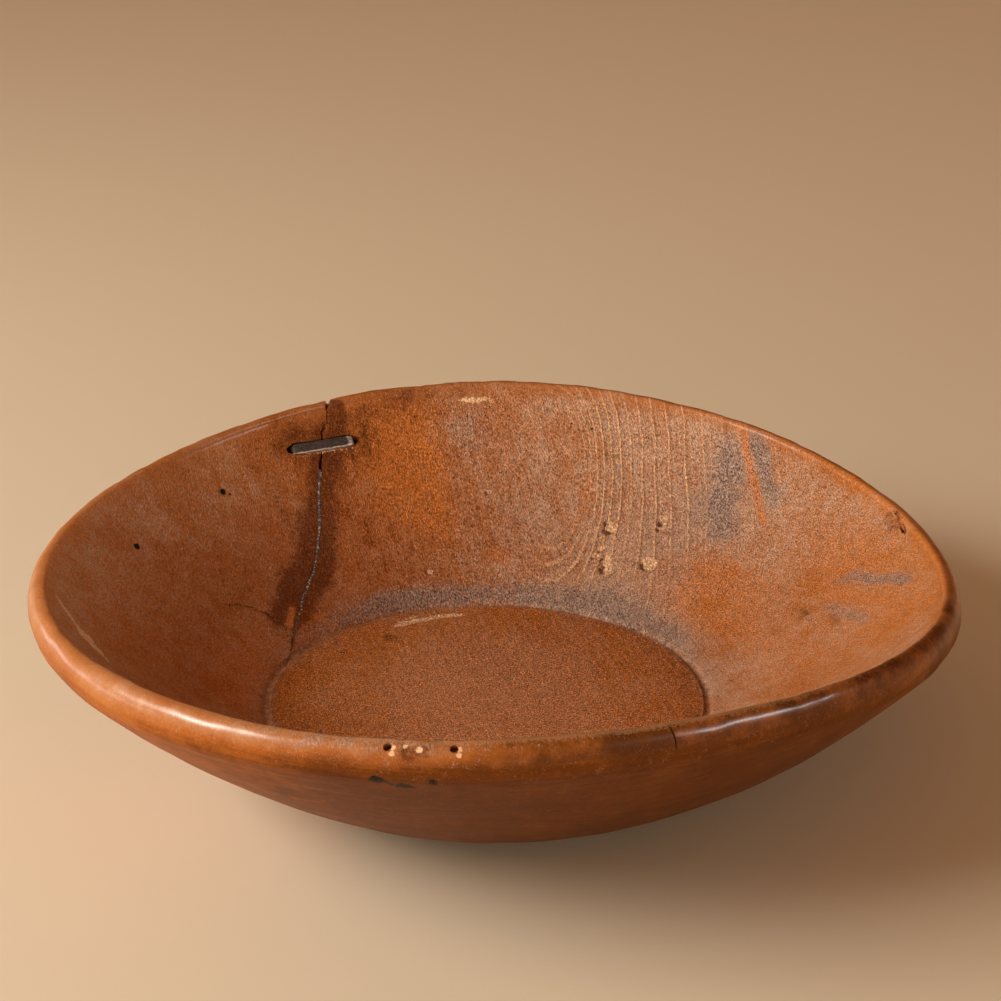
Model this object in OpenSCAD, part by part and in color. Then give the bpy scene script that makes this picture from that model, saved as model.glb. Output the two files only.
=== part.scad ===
// Hand-carved shallow wooden bowl with a split wall held by a forged iron staple.
// Millimetres, +Z up. Origin at the middle of the flat base.
// Angles run anticlockwise from +X, seen from above; the split is at the back left.

/* [Rim] */
// Mean radius of the rim crest
rim_r = 214; // [205:1:225]
// Mean height of the rim crest above the base
rim_h = 100.2; // [95:0.2:108]
// Sideways offset of the rim from the base
rim_x = -7.6; // [-12:0.2:0]
// Fore-and-aft offset of the rim from the base
rim_y = 1.5; // [-3:0.5:3]
// Half-thickness of the lip outside the crest
lip_w = 7; // [6:0.2:9]
// Drop from the crest to the widest line of the lip
lip_drop = 9.7; // [8:0.1:11]
// Rounding of the lip on the inside of the crest
lip_in = 2.5; // [1.5:0.1:3.5]

/* [Warp of the seasoned wood] */
// Ovalness: the rim is longer than the mean by this much on one diagonal
oval = 7; // [0:0.5:9]
// Direction of the long diagonal
oval_a = 49; // [30:1:70]
// Slight three-sidedness left by carving by eye
three_lobe = 0.9; // [0:0.1:2]
// Direction of one of its corners
three_lobe_a = 30; // [0:1:60]
// Saddle: front and back of the rim rise by this much, the sides drop
saddle = 8.4; // [0:0.2:10]
// Direction where the saddle is lowest
saddle_a = 6; // [0:1:20]
// Tilt of the rim, low at the right and the back
tilt = 7.7; // [0:0.1:9]
// Direction where the tilt is lowest
tilt_a = 35; // [20:1:50]
// Slow wave along the rim
wave = 2.1; // [0:0.1:3]
// Direction of one low point of the wave
wave_a = 16; // [0:1:40]

/* [Inside] */
// Sideways place of the middle of the disc
floor_x = -13.9; // [-18:0.1:-6]
// Fore-and-aft place of the middle of the disc
floor_y = 1.6; // [-2:0.1:4]
// Radius of the raised disc at the bottom
floor_r = 105; // [98:1:110]
// Height of the edge of the disc above the table
floor_z = 20.3; // [18:0.1:24]
// Rise of the disc from its edge to its middle
dome = 3; // [1:0.5:5]
// Width of the groove around the disc
groove_w = 5; // [3:0.5:8]
// Depth of the groove below the edge of the disc
groove_d = 1.5; // [0.5:0.1:3]
// Hollow of the inner wall below a straight cone
sag = 7; // [3:0.5:9]

/* [Outside] */
// Radius of the flat base
base_r = 79.5; // [70:0.5:90]
// Fullness of the outer wall: a higher number is rounder at the bottom
belly = 1.77; // [1.6:0.01:2]

/* [Staple] */
// Angle of the middle of the staple
staple_a = 119.4; // [117:0.1:122]
// Place of the staple between the foot (0) and the top (1) of the wall
staple_v = 0.856; // [0.8:0.002:0.88]
// Length of the crown
crown_l = 37; // [32:0.5:40]
// Width of the crown
crown_w = 6.5; // [5:0.1:7]
// Thickness of the forged strip
strip_t = 2.4; // [2:0.1:3]
// Height of the crown above the wood at its middle
crown_up = 1; // [0.6:0.1:1.4]
// Length of each end folded over on the outside
clench_l = 9; // [7:0.5:12]

/* [Split] */
// Width of the split in the upper wall
split_w = 1.3; // [1:0.1:1.8]
// Width of the broken notch where the split meets the rim
notch_w = 4; // [2.5:0.1:5]
// Height where the split ends on the outside
split_z = 62; // [55:1:70]

/* [Old damage in the rim] */
// Angle of the left one of two old drilled holes
hole_a = 258.3; // [256:0.1:262]
// Angle between the two holes
hole_gap_a = 6.9; // [5:0.1:8]
// Radius of the two holes
hole_r = 2.2; // [1.5:0.1:2.6]
// Depth of the two holes
hole_deep = 6; // [4:0.5:8]
// Angle of the short split across the lip
check_a = 288.8; // [285:0.1:292]
// Width of the short split
check_w = 0.8; // [0.5:0.1:1.2]

/* [Hidden] */
$fn = 48;

// Columns around the bowl
cols = 128;
// Gap between parts that touch
fit_gap = 0.05;
// Gap around the staple's crown and legs
slack = 0.3;
// Length of the torn pocket beyond each end of the crown
pocket_l = 3;

function dir(a) = [cos(a), sin(a)];
function unit(p) = p / norm(p);
function ease(t) = let(c = min(1, max(0, t))) c * c * (3 - 2 * c);

// Rim crest: radius about the middle of the rim, and height
function crest_r(a) =
    rim_r + oval * cos(2 * (a - oval_a)) + three_lobe * cos(3 * (a - three_lobe_a));
function crest_z(a) = rim_h - tilt * cos(a - tilt_a)
    - saddle * cos(2 * (a - saddle_a)) - wave * cos(3 * (a - wave_a));

rim_c = [rim_x, rim_y];
floor_c = [floor_x, floor_y];
foot_r = floor_r + groove_w;

// A point from a plan position and a height
function lift(p, z) = [p[0], p[1], z];

// Disc at the bottom of the inside, k from 0 in the middle to 1 at its edge
function floor_pt(a, k) =
    lift(floor_c + floor_r * k * dir(a), floor_z + dome * (1 - k * k));

// Inner wall, v from 0 at its foot to 1 just under the crest
function wall_pt(a, v) =
    lift((1 - v) * (floor_c + foot_r * dir(a)) + v * (rim_c + (crest_r(a) - lip_in) * dir(a)),
        floor_z + (crest_z(a) - lip_in - floor_z) * v - sag * 4 * v * (1 - v));

// Lip, q from 180 inside the crest, over 90 at the crest, to -45 under the edge
function lip_pt(a, q) =
    let(w = q > 90 ? lip_in : lip_w, h = q > 90 ? lip_in : lip_drop)
    lift(rim_c + (crest_r(a) + w * cos(q)) * dir(a), crest_z(a) - h * (1 - sin(q)));

// Outer wall, u from 1 under the lip to 0 at the edge of the base
function out_r(a) = crest_r(a) + lip_w * cos(45);
function out_z(a) = crest_z(a) - lip_drop * (1 + sin(45));
function out_pt(a, u) =
    lift((1 - u) * base_r * dir(a) + u * (rim_c + out_r(a) * dir(a)), out_z(a) * pow(u, belly));

// The bowl's section at angle a, from the disc over the rim to the base
function section(a) = concat(
    [for (k = [0.2, 0.45, 0.7, 0.9, 1]) floor_pt(a, k)],
    [lift(floor_c + (floor_r + groove_w * 0.3) * dir(a), floor_z - groove_d)],
    [lift(floor_c + (floor_r + groove_w * 0.7) * dir(a), floor_z - groove_d * 0.8)],
    [for (v = [0, 0.08, 0.18, 0.3, 0.44, 0.58, 0.72, 0.86, 1]) wall_pt(a, v)],
    [for (q = [150, 120, 90, 70, 50, 30, 10, -10, -28, -45]) lip_pt(a, q)],
    [for (u = [0.9, 0.78, 0.66, 0.54, 0.42, 0.3, 0.2, 0.1, 0.04, 0]) out_pt(a, u)]);

module carved_shell() {
    rows = [for (j = [0:cols - 1]) section(360 * j / cols)];
    m = len(rows[0]);
    pts = concat(
        [for (i = [0:m - 1]) for (j = [0:cols - 1]) rows[j][i]],
        [lift(floor_c, floor_z + dome)]);
    mid = m * cols;
    faces = concat(
        [for (j = [0:cols - 1]) [mid, (j + 1) % cols, j]],
        [for (i = [0:m - 2]) for (j = [0:cols - 1])
            [i * cols + j, i * cols + (j + 1) % cols, (i + 1) * cols + (j + 1) % cols]],
        [for (i = [0:m - 2]) for (j = [0:cols - 1])
            [i * cols + j, (i + 1) * cols + (j + 1) % cols, (i + 1) * cols + j]],
        [[for (j = [0:cols - 1]) (m - 1) * cols + j]]);
    polyhedron(points = pts, faces = faces, convexity = 6);
}

// Place on the inner wall: height of the wall above a plan position
function wall_mid(v) = (1 - v) * floor_c + v * rim_c;
function wall_a(x, y, v) = atan2(y - wall_mid(v)[1], x - wall_mid(v)[0]);
function wall_v(x, y, v = 0.5, n = 8) =
    n == 0 ? v : wall_v(x, y,
        (norm([x, y] - wall_mid(v)) - foot_r) / (crest_r(wall_a(x, y, v)) - lip_in - foot_r),
        n - 1);
function wall_z(x, y) = let(v = wall_v(x, y)) wall_pt(wall_a(x, y, v), max(v, -0.05))[2];

// The split follows the grain, front to back, and wanders at the foot of the wall
function split_x(y) = -104 - 6.5 * ease((114 - y) / 28) - 4 * ease((86 - y) / 46)
    + 0.5 * sin(y * 9);
function split_half(y) = split_w / 2 * (0.55 + 0.45 * ease((y - 40) / 90));
function split_deep(y) = lookup(y, [[split_y0, 1], [60, 2.5], [100, 6], [130, 10], [165, 17]]);
function split_low(y) = let(z = wall_z(split_x(y), min(y, 165)) - split_deep(y))
    y > 165 ? split_z : min(z, split_z);

// Front end of the split and the length of one straight piece of it
split_y0 = 38;
split_step = 8;

// A thin upright ribbon along the split, between two heights
module ribbon(ys, lows, tops, halves) {
    n = len(ys);
    pts = [for (k = [0:n - 1]) for (s = [[-1, 0], [1, 0], [1, 1], [-1, 1]])
        [split_x(ys[k]) + s[0] * halves[k], ys[k], s[1] == 0 ? lows[k] : tops[k]]];
    faces = concat(
        [[0, 1, 2, 3]],
        [for (k = [0:n - 2]) for (e = [0:3])
            let(p = 4 * k + e, q = 4 * k + (e + 1) % 4) [p, p + 4, q + 4]],
        [for (k = [0:n - 2]) for (e = [0:3])
            let(p = 4 * k + e, q = 4 * k + (e + 1) % 4) [p, q + 4, q]],
        [[4 * n - 1, 4 * n - 2, 4 * n - 3, 4 * n - 4]]);
    polyhedron(points = pts, faces = faces, convexity = 6);
}

// Cut of the split, from the foot of the wall at the front to past the rim at the back
module split_cut() {
    ys = concat([for (k = [0:16]) split_y0 + split_step * k], [225]);
    ribbon(ys, [for (y = ys) split_low(y)], [for (y = ys) 160], [for (y = ys) split_half(y)]);
}

// Broken notch where the split meets the rim
module rim_notch() {
    top = crest_z(staple_a) + 1;
    translate([split_x(185), 174, top - 9])
        rotate([-90, 0, 0])
            linear_extrude(height = 40)
                polygon([[0, 0], [-notch_w / 2, -8], [-notch_w / 2, -30],
                    [notch_w / 2, -30], [notch_w / 2, -8]]);
}

// Axes on the inner wall at the staple: up the wall, along the wall, out of the wood
s_o = wall_pt(staple_a, staple_v);
s_x = unit(wall_pt(staple_a, staple_v + 0.01) - wall_pt(staple_a, staple_v - 0.01));
s_t = wall_pt(staple_a + 1, staple_v) - wall_pt(staple_a - 1, staple_v);
s_z = unit(cross(s_x, s_t));
s_y = cross(s_z, s_x);

// Where the leg at distance y along the crown comes out of the wall
function leg_start(y) = s_o + y * s_y;
function leg_a(y) = atan2(leg_start(y)[1] - rim_y, leg_start(y)[0] - rim_x);
function leg_miss(y, u) =
    let(d = out_pt(leg_a(y), u) - leg_start(y)) norm(d - (d * s_z) * s_z);
function leg_u(y, best = 1, k = 0) =
    k > 240 ? best : leg_u(y, leg_miss(y, 0.4 + k / 400) < leg_miss(y, best) ? 0.4 + k / 400 : best,
        k + 1);

leg_y = crown_l / 2 - strip_t / 2;
leg_w = crown_w * 0.66;

module frame(o, x, y, z) {
    multmatrix([
        [x[0], y[0], z[0], o[0]],
        [x[1], y[1], z[1], o[1]],
        [x[2], y[2], z[2], o[2]],
        [0, 0, 0, 1]]) children();
}

module crown_plan(grow) {
    w = crown_w / 2 + grow;
    l = crown_l / 2 + grow;
    polygon([[w, -l + 2], [w, l - 2], [w * 0.68, l], [-w * 0.68, l],
        [-w, l - 2], [-w, -l + 2], [-w * 0.68, -l], [w * 0.68, -l]]);
}

module pocket_plan(side) {
    near = side * (crown_l / 2 - 1);
    far = side * (crown_l / 2 + pocket_l);
    polygon([[-leg_w * 0.6, near], [leg_w * 0.6, near], [leg_w * 0.2, far], [-leg_w * 0.2, far]]);
}

module staple_seat() {
    frame(s_o, s_x, s_y, s_z) {
        translate([0, 0, crown_up - strip_t - fit_gap])
            linear_extrude(height = 8)
                crown_plan(slack);
        for (side = [-1, 1]) {
            translate([-leg_w / 2 - slack, side * leg_y - strip_t / 2 - slack, -34])
                cube([leg_w + 2 * slack, strip_t + 2 * slack, 36]);
            translate([0, 0, -6])
                linear_extrude(height = 12)
                    pocket_plan(side);
        }
    }
}

module leg(side) {
    y = side * leg_y;
    u = leg_u(y);
    p = out_pt(leg_a(y), u);
    deep = (leg_start(y) - p) * s_z;
    e_t = unit(out_pt(leg_a(y) + 1, u) - out_pt(leg_a(y) - 1, u));
    e_u = unit(out_pt(leg_a(y), u + 0.01) - out_pt(leg_a(y), u - 0.01));
    e_z = unit(cross(e_t, e_u));
    e_x = cross(e_t, e_z);
    frame(s_o, s_x, s_y, s_z)
        translate([-leg_w / 2, y - strip_t / 2, -deep - 1.6])
            cube([leg_w, strip_t, deep + 1.6]);
    frame(p, e_x, e_t, e_z)
        translate([-leg_w / 2, side > 0 ? -clench_l : -strip_t / 2, 0.6])
            cube([leg_w, clench_l + strip_t / 2, 1.6]);
}

module staple() {
    frame(s_o, s_x, s_y, s_z)
        difference() {
            translate([0, 0, crown_up - strip_t])
                linear_extrude(height = strip_t)
                    crown_plan(0);
            for (side = [-1, 1])
                translate([0, side * (crown_l / 2 - 1.8), crown_up])
                    rotate([side * -35, 0, 0])
                        translate([-crown_w, side > 0 ? 0 : -8, 0])
                            cube([crown_w * 2, 8, 6]);
        }
    leg(-1);
    leg(1);
}

// Old drilled holes in the front lip, left by an earlier repair
module rim_holes() {
    for (a = [hole_a, hole_a + hole_gap_a])
        translate(lip_pt(a, 58))
            rotate([0, 0, a])
                rotate([0, 41, 0])
                    translate([0, 0, -hole_deep])
                        cylinder(r = hole_r, h = 14);
}

// Short split across the lip at the front right
module rim_check() {
    translate(lip_pt(check_a, 45))
        rotate([0, 0, check_a + 14])
            rotate([0, 44, 0])
                translate([-12, -check_w / 2, -2.6])
                    cube([26, check_w, 8]);
}

module bowl_body() {
    color([0.48, 0.25, 0.12])
        difference() {
            carved_shell();
            split_cut();
            rim_notch();
            staple_seat();
            rim_holes();
            rim_check();
        }
}

module crack_staple() {
    color([0.16, 0.13, 0.12]) staple();
}

module split_filler() {
    ys = [for (k = [3:14]) split_y0 + split_step * k];
    color([0.30, 0.26, 0.23])
        ribbon(ys, [for (y = ys) split_low(y) + fit_gap],
            [for (y = ys) wall_z(split_x(y), y) - 0.6],
            [for (y = ys) split_half(y) - fit_gap]);
}

bowl_body();
crack_staple();
split_filler();
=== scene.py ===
"""Looks of a hand-carved wooden bowl whose split is held by a forged staple.

Shapes are worked out in millimetres, from the same formulas as the CAD, and turned into metres at the end.
Angles run anticlockwise from +X, in degrees, seen from above.
"""
import math

import bmesh
import bpy
import numpy as np
from mathutils import Matrix, Vector, noise


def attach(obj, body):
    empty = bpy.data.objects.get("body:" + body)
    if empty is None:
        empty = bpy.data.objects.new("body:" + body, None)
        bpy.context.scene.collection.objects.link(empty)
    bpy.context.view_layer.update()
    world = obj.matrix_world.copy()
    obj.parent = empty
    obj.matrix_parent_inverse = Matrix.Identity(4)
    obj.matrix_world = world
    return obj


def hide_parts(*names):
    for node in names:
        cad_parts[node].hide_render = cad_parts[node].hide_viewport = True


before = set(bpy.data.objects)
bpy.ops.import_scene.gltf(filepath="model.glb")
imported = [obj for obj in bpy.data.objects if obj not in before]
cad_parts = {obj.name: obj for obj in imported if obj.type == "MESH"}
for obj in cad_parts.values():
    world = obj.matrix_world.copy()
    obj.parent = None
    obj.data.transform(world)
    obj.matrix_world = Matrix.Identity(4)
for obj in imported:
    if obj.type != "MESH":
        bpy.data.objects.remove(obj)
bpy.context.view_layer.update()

MM = 0.001
RANDOM = np.random.default_rng(7)

# ---- Colours and nodes ----


def rgb(red, green, blue):
    return (red, green, blue, 1.0)


class Nodes:
    """Short calls that add nodes to a node tree."""

    def __init__(self, tree):
        self.tree = tree

    def feed(self, socket, value):
        if isinstance(value, bpy.types.NodeSocket):
            self.tree.links.new(value, socket)
        else:
            socket.default_value = value

    def node(self, kind, inputs, **settings):
        made = self.tree.nodes.new("ShaderNode" + kind)
        for key, value in settings.items():
            setattr(made, key, value)
        for key, value in inputs.items():
            self.feed(made.inputs[key], value)
        return made

    def shades(self, value, stops, interpolation="LINEAR"):
        """Colour of a value, from stops of a position and a colour each."""
        made = self.node("ValToRGB", {0: value})
        made.color_ramp.interpolation = interpolation
        elements = made.color_ramp.elements
        first, *middle, last = stops
        for element, (position, colour) in zip(elements, (first, last)):
            element.position = position
            element.color = colour
        for position, colour in middle:
            elements.new(position).color = colour
        return made.outputs["Color"]


# ---- Camera and light ----

CAMERA_PLACE = (-0.0076, -1.1303, 0.597)
CAMERA_DOWN = 22.68
CAMERA_LENS = 93.5
SENSOR = 36.0

LIGHTS_AIM = (0, 0, 0.05)
WINDOW_COLOUR = (1.0, 0.955, 0.81)
GLINT_COLOUR = (1.0, 0.96, 0.92)
# The window, and lights that only show as glints: name, place, size, power
WINDOW = ("window", (-1.6, -0.5, 1.1), (1.3, 0.75), 34.5)
GLINTS = [
    ("left_glint", (-1.65, 0.4, 0.2), (1.5, 0.2), 6),
    ("window_glint", (-1.6, -0.55, 1.1), (0.5, 0.3), 26),
    ("right_glint", (1.5, -0.5, 0.97), (1.1, 0.08), 20),
]
# Colour of the room by the height of the direction, and its strength by direction
ROOM_GLOW = [(0.05, rgb(1.0, 0.93, 0.72)), (0.35, rgb(0.077, 0.03, 0.008))]
ROOM_TOWARD = (-0.6, -0.8, 0)
ROOM_STRENGTH = {"From Min": -0.8, "From Max": 0.3, "To Min": 1.9, "To Max": 3.6}


def make_camera():
    data = bpy.data.cameras.new("camera")
    data.lens = CAMERA_LENS
    data.sensor_width = SENSOR
    camera = bpy.data.objects.new("camera", data)
    camera.location = CAMERA_PLACE
    camera.rotation_euler = (math.radians(90 - CAMERA_DOWN), 0, 0)
    bpy.context.scene.collection.objects.link(camera)
    bpy.context.scene.camera = camera


def area_light(name, place, size, power, colour):
    data = bpy.data.lights.new(name, "AREA")
    data.shape = "RECTANGLE"
    data.size, data.size_y = size
    data.energy = power
    data.color = colour
    light = bpy.data.objects.new(name, data)
    light.location = place
    light.rotation_euler = (Vector(LIGHTS_AIM) - Vector(place)).to_track_quat("-Z", "Y").to_euler()
    bpy.context.scene.collection.objects.link(light)
    return light


def make_lights():
    area_light(*WINDOW, WINDOW_COLOUR)
    for row in GLINTS:
        area_light(*row, GLINT_COLOUR).visible_diffuse = False


def make_room():
    """Soft light from the room: pale and bright low down, dim above, strongest from the front left."""
    world = bpy.data.worlds.new("room")
    bpy.context.scene.world = world
    world.use_nodes = True
    world.cycles_visibility.glossy = False
    room = Nodes(world.node_tree)
    heading = room.node("TexCoord", {}).outputs["Generated"]
    height = room.node("SeparateXYZ", {0: heading}).outputs["Z"]
    toward = room.node("VectorMath", {0: heading, 1: ROOM_TOWARD}, operation="DOT_PRODUCT").outputs["Value"]
    background = room.tree.nodes["Background"]
    room.feed(background.inputs["Strength"], room.node("MapRange", {0: toward, **ROOM_STRENGTH}).outputs[0])
    room.feed(background.inputs["Color"], room.shades(height, ROOM_GLOW, "EASE"))
    bpy.context.scene.view_settings.view_transform = "Standard"


# ---- Shape of the bowl ----

RIM_R, RIM_H = 214.0, 100.2
RIM_C = np.array([-7.6, 1.5])
OVAL, OVAL_A = 7.0, 49
LOBE, LOBE_A = 0.9, 30
TILT, TILT_A = 7.7, 35
SADDLE, SADDLE_A = 8.4, 6
WAVE, WAVE_A = 2.1, 16
LIP_W, LIP_DROP, LIP_IN = 7.0, 9.7, 2.5
DISC_R, DISC_Z, DOME = 105.0, 20.3, 3.0
DISC_C = np.array([-13.9, 1.6])
GROOVE_W, GROOVE_D = 5.0, 1.5
FOOT_R = DISC_R + GROOVE_W
SAG = 7.0
BASE_R, BELLY = 79.5, 1.77
WALL_LENGTH = 125.0


def cosd(a):
    return np.cos(np.radians(a))


def sind(a):
    return np.sin(np.radians(a))


def ease(t):
    t = np.clip(t, 0, 1)
    return t * t * (3 - 2 * t)


def crest_r(a):
    return RIM_R + OVAL * cosd(2 * (a - OVAL_A)) + LOBE * cosd(3 * (a - LOBE_A))


def crest_z(a):
    return (RIM_H - TILT * cosd(a - TILT_A) - SADDLE * cosd(2 * (a - SADDLE_A))
            - WAVE * cosd(3 * (a - WAVE_A)))


def lifted(centre, radius, a, z):
    """Points at a plan radius and an angle about a centre, at height z."""
    a = np.asarray(a, float)
    return np.stack(np.broadcast_arrays(
        centre[0] + radius * cosd(a), centre[1] + radius * sind(a), z), -1)


def disc_point(a, k):
    return lifted(DISC_C, DISC_R * k, a, DISC_Z + DOME * (1 - k * k))


def groove_point(a, t):
    """Groove around the disc: t is 0 at the disc and 1 at the foot of the wall."""
    return lifted(DISC_C, DISC_R + GROOVE_W * t, a, DISC_Z - GROOVE_D * np.sin(math.pi * t) ** 0.7)


def wall_point(a, v):
    """Inner wall: v is 0 at its foot and 1 just under the crest."""
    radius = (1 - v) * FOOT_R + v * (crest_r(a) - LIP_IN)
    z = DISC_Z + (crest_z(a) - LIP_IN - DISC_Z) * v - SAG * 4 * v * (1 - v)
    return lifted((1 - v) * DISC_C + v * RIM_C, radius, a, z)


def lip_point(a, q):
    """Lip: q is 180 inside the crest, 90 on it and -45 under its outer edge."""
    w, h = (LIP_IN, LIP_IN) if q > 90 else (LIP_W, LIP_DROP)
    return lifted(RIM_C, crest_r(a) + w * cosd(q), a, crest_z(a) - h * (1 - sind(q)))


def outer_radius(a):
    return crest_r(a) + LIP_W * cosd(45)


def outer_height(a, u):
    return (crest_z(a) - LIP_DROP * (1 + sind(45))) * np.clip(u, 0, 2) ** BELLY


def outer_point(a, u):
    """Outer wall: u is 1 under the lip and 0 at the edge of the base."""
    return lifted(u * RIM_C, (1 - u) * BASE_R + u * outer_radius(a), a, outer_height(a, u))


def plan_angle(points, centre):
    return np.degrees(np.arctan2(points[:, 1] - centre[..., 1], points[:, 0] - centre[..., 0])) % 360


def wall_place(points):
    """Angle and height on the inner wall (0 at the foot, 1 at the crest) of each point."""
    v = np.full(len(points), 0.5)
    for _ in range(8):
        centre = (1 - v)[:, None] * DISC_C + v[:, None] * RIM_C
        a = plan_angle(points, centre)
        radius = np.linalg.norm(points[:, :2] - centre, axis=1)
        v = (radius - FOOT_R) / (crest_r(a) - LIP_IN - FOOT_R)
    return a, v


def above_outside(points):
    """Height of each point above the outer wall straight below it."""
    u = np.full(len(points), 0.5)
    for _ in range(8):
        a = plan_angle(points, u[:, None] * RIM_C)
        radius = np.linalg.norm(points[:, :2] - u[:, None] * RIM_C, axis=1)
        u = (radius - BASE_R) / (outer_radius(a) - BASE_R)
    return points[:, 2] - outer_height(a, u)


def turn(a, middle):
    """Signed angle from a middle direction."""
    return (a - middle + 180) % 360 - 180


class Place:
    """Where points lie on the bowl."""

    def __init__(self, points):
        self.points = points
        self.angle, self.rise = wall_place(points)
        self.inside = ease((above_outside(points) - 3) / 3) * ease((1.04 - self.rise) / 0.04)
        self.disc = np.linalg.norm(points[:, :2] - DISC_C, axis=1)
        self.wall = self.inside * ease((self.disc - FOOT_R + 2) / 3)
        rim_a = plan_angle(points, RIM_C)
        self.over_rim = points[:, 2] - crest_z(rim_a)
        self.past_rim = np.linalg.norm(points[:, :2] - RIM_C, axis=1) - crest_r(rim_a)
        self.rim_angle = rim_a

    def patch(self, angle, rise, along, up, strength):
        """Soft oval patch on the inner wall, sized in millimetres."""
        radius = FOOT_R + rise * (RIM_R - FOOT_R)
        side = np.radians(turn(self.angle, angle)) * radius / along
        lift = (self.rise - rise) * WALL_LENGTH / up
        return strength * self.wall * np.exp(-side ** 2 - lift ** 2)

    def rim_patch(self, angle, reach, strength, down=9.0, past=8.0):
        """Soft patch on the lip, long along the rim by reach degrees."""
        side = turn(self.rim_angle, angle) / reach
        band = np.exp(-(self.over_rim / down) ** 2 - ((self.past_rim - 2) / past) ** 2)
        return strength * band * np.exp(-side ** 2)

    def spot(self, place, radius, strength=1.0):
        """Round spot about a place in space."""
        gap = np.linalg.norm(self.points - np.asarray(place), axis=1)
        return strength * ease(1.5 - gap / radius)

    def line(self, path, width, strength=1.0):
        """Narrow mark along a run of places in space, thinning towards its ends."""
        gap, along = distance_to_path(self.points, path)
        taper = np.clip(6 * np.minimum(along, 1 - along) + 0.3, 0, 1)
        return strength * np.exp(-(gap / width) ** 2) * taper


def distance_to_path(points, path):
    """Distance of each point to a run of straight pieces, and how far along it that is (0 to 1)."""
    path = np.asarray(path, float)
    lengths = np.linalg.norm(np.diff(path, axis=0), axis=1)
    best = np.full(len(points), 1e9)
    along = np.zeros(len(points))
    for k, length in enumerate(lengths):
        step = (path[k + 1] - path[k]) / length
        t = np.clip((points - path[k]) @ step, 0, length)
        gap = np.linalg.norm(points - path[k] - t[:, None] * step, axis=1)
        nearer = gap < best
        best = np.where(nearer, gap, best)
        along = np.where(nearer, (lengths[:k].sum() + t) / lengths.sum(), along)
    return best, along


# ---- Split, staple and old damage ----

SPLIT_WIDTH = 1.3
RIM_SPLIT_HALF = 0.4
SPLIT_FRONT, SPLIT_BACK = 38.0, 226.0
SPLIT_STEP = 1.6
SPLIT_DEPTHS = ((38, 60, 100, 130, 165), (1, 2.5, 6, 10, 17))
THROUGH_Y, THROUGH_Z = 165.0, 62.0
NOTCH_A = 118.7

STAPLE_A, STAPLE_V = 119.4, 0.856
CROWN_L, CROWN_W, CROWN_UP = 37.0, 6.5, 1.0
STRIP_T = 2.4
LEG_W = CROWN_W * 0.66
LEG_Y = CROWN_L / 2 - STRIP_T / 2
CLENCH_L = 9.0
SLACK = 0.3
POCKET_L = 3.0

HOLE_ANGLES, HOLE_Q, HOLE_R, HOLE_DEEP = (258.3, 265.2), 58, 1.8, 6.0
HOLE_TILT = math.radians(41)
CHECK_A, CHECK_WIDTH = 288.8, 0.8
CHECK_SKEW, CHECK_LEAN = 14, math.radians(44)


def split_x(y):
    """The split follows the grain from front to back and wanders at the foot of the wall."""
    return (-104 - 6.5 * ease((114 - y) / 28) - 4 * ease((86 - y) / 46) + 0.5 * sind(y * 9)
            + 2.8 * ease((y - 171) / 13) + 3.0 * ease((y - 184) / 16))


def split_half(y):
    half = SPLIT_WIDTH / 2 * (0.3 + 0.7 * ease((y - 55) / 45))
    return half + (RIM_SPLIT_HALF - half) * ease((y - THROUGH_Y + 8) / 12)


def wall_height(x, y):
    """Height of the inner wall above a plan position."""
    at = np.array([[x, y, 0.0]])
    a, v = wall_place(at)
    return float(wall_point(a, np.maximum(v, -0.05))[0, 2])


def split_path():
    ys = np.linspace(SPLIT_FRONT, 184, 24)
    return [(float(split_x(y)), y, wall_height(split_x(y), y)) for y in ys]


def staple_frame():
    """Place and axes of the staple: up the wall, along it and out of the wood."""
    origin = wall_point(STAPLE_A, STAPLE_V)
    up = wall_point(STAPLE_A, STAPLE_V + 0.01) - wall_point(STAPLE_A, STAPLE_V - 0.01)
    up = up / np.linalg.norm(up)
    along = wall_point(STAPLE_A + 1, STAPLE_V) - wall_point(STAPLE_A - 1, STAPLE_V)
    out = np.cross(up, along)
    out = out / np.linalg.norm(out)
    return origin, np.stack([up, np.cross(out, up), out])


STAPLE_O, STAPLE_AXES = staple_frame()


def from_staple(local):
    """Points given as (up the wall, along it, out of the wood) about the staple's middle."""
    return STAPLE_O + np.asarray(local, float) @ STAPLE_AXES


# ---- Relief: everything that moves the surface a little in or out ----

# Old pits and knots on the inner wall: angle, height on the wall, radius, depth
PITS = [
    (139.9, 0.81, 2.4, 0.9), (138.9, 0.79, 1.3, 0.8), (162.8, 0.8, 2.6, 0.8), (161.8, 0.785, 1.4, 0.9),
    (75.3, 0.86, 1.2, 0.7), (74.7, 0.95, 0.9, 0.6), (78.6, 0.87, 0.8, 0.5), (107.2, 0.32, 1.4, 0.7),
]
# Light chips where the patina has flaked off: angle, height on the wall, radius, depth
CHIPS = [
    (66.6, 0.44, 3.0, 0.8), (67.6, 0.47, 1.9, 0.7), (66.4, 0.34, 2.0, 0.7), (63.7, 0.25, 3.0, 0.8),
    (64.6, 0.29, 2.4, 0.7), (55.3, 0.32, 3.9, 1.0), (57.8, 0.56, 2.2, 0.8), (57.7, 0.53, 1.9, 0.9),
    (57.5, 0.5, 1.5, 0.6), (91.2, 0.56, 1.5, 0.5), (104.6, 0.19, 2.0, 0.5), (67.2, 0.3, 1.6, 0.5),
]
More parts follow.
